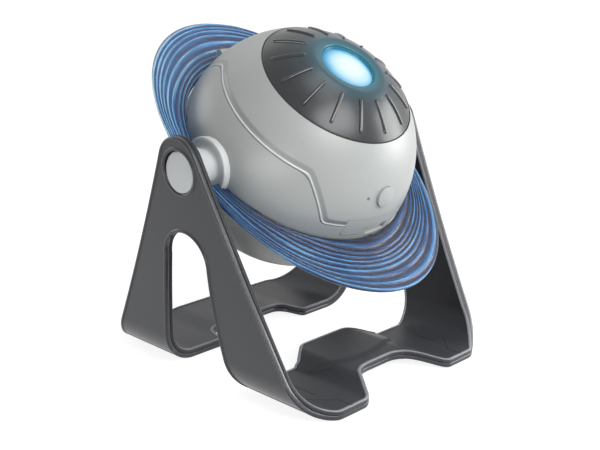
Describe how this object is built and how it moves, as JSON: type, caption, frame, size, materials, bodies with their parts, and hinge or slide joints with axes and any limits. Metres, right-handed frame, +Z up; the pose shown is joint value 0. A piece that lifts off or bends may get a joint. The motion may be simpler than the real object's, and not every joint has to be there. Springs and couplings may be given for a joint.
{
  "type": "planetarium projector",
  "caption": "Ball-shaped star projector with an oval ring and a hinged lens cover, tilting between the leaning arms of a bent two-strip stand.",
  "frame": {"origin": "centre of the stand's footprint on the table", "axes": "+Z up, the front of the stand faces -Y and the ball tilts about the X direction"},
  "size_m": [0.1972, 0.193, 0.2094],
  "materials": {
    "stand_charcoal": "satin moulded charcoal",
    "steel": "zinc plated",
    "rubber": "matte",
    "acetal": "smooth white acetal",
    "silver_shell": "satin silver",
    "white_collar": "satin white",
    "blue_ring": "polished deep blue",
    "black_dome": "polished smoke black",
    "light_pipe": "clear",
    "black_inner": "matte",
    "star_film": "clear film disc printed black",
    "glass": "polished",
    "board": "solder mask",
    "emitter": "phosphor dome",
    "aluminium": "cast",
    "motor_metal": "plated can",
    "brass": "machined",
    "cell_wrap": "plain wrap"
  },
  "bodies": {
    "stand": {"stand_shell": "stand_charcoal", "stand_liner": "stand_charcoal", "stand_screws": "steel", "foot_pads": "rubber", "pivot_bush_left": "acetal", "pivot_bush_right": "acetal"},
    "ball": {"lower_housing": "silver_shell", "collar_left": "white_collar", "collar_right": "white_collar", "collar_screws": "steel", "pivot_cap_left": "silver_shell", "pivot_cap_right": "silver_shell", "ring_front": "blue_ring", "ring_rear": "blue_ring", "hinge_pin": "steel", "latch_pin": "steel", "gear_motor": "motor_metal", "disc_tray": "black_inner", "tray_screws": "steel", "light_tube": "black_inner", "condenser_lens": "glass", "led_board": "board", "led_emitter": "emitter", "heatsink": "aluminium", "main_board": "board", "board_screws": "steel", "battery_box": "black_inner", "batteries": "cell_wrap", "battery_contacts": "steel", "battery_door": "silver_shell", "battery_door_screw": "steel"},
    "cover": {"upper_cover": "silver_shell", "lens_guide": "black_inner", "guide_screws": "steel", "button_board": "board", "tact_switch": "black_inner", "status_light": "light_pipe"},
    "dome": {"focus_dome": "black_dome"},
    "lens": {"lens_barrel": "black_inner", "lens_ring": "black_inner", "front_lens": "glass", "rear_lens": "glass"},
    "button": {"power_button": "silver_shell"},
    "latch": {"cover_latch": "silver_shell"},
    "carrier": {"disc_carrier": "acetal", "star_disc": "star_film"},
    "pinion": {"motor_pinion": "brass"}
  },
  "joints": [
    {"name": "ball_tilt", "type": "hinge", "parent": "stand", "child": "ball", "pos_m": [0, 0, 0.1342], "axis": [1, 0, 0], "range_deg": [-37.5, 52.5]},
    {"name": "cover_hinge", "type": "hinge", "parent": "ball", "child": "cover", "pos_m": [0, 0.05489, 0.18981], "axis": [-1, 0, 0], "range_deg": [0, 75]},
    {"name": "latch_rock", "type": "hinge", "parent": "ball", "child": "latch", "pos_m": [0, -0.05858, 0.09555], "axis": [1, 0, 0], "range_deg": [0, 8], "stiffness_Nm_per_rad": 0.05, "springref_deg": -5.73},
    {"name": "dome_turn", "type": "hinge", "parent": "cover", "child": "dome", "pos_m": [0, -0.03653, 0.1818], "axis": [0, -0.6088, 0.7934], "range_deg": [-45, 45]},
    {"name": "lens_slide", "type": "slide", "parent": "cover", "child": "lens", "axis": [0, -0.6088, 0.7934], "range_m": [-0.0015, 0.0015]},
    {"name": "button_press", "type": "slide", "parent": "cover", "child": "button", "axis": [0, 0.969, 0.247], "range_m": [0, 0.001], "stiffness_N_per_m": 400, "springref_m": -0.0003},
    {"name": "disc_spin", "type": "hinge", "parent": "ball", "child": "carrier", "pos_m": [0, -0.02192, 0.16276], "axis": [0, -0.6088, 0.7934], "continuous": true},
    {"name": "pinion_spin", "type": "hinge", "parent": "ball", "child": "pinion", "pos_m": [-0.0347, -0.03133, 0.15428], "axis": [0, -0.6088, 0.7934], "continuous": true}
  ],
  "couplings": [
    {"joint": "lens_slide", "follows": "dome_turn", "m_per_rad": 0.0019099},
    {"joint": "pinion_spin", "follows": "disc_spin", "ratio": -6.6667}
  ]
}
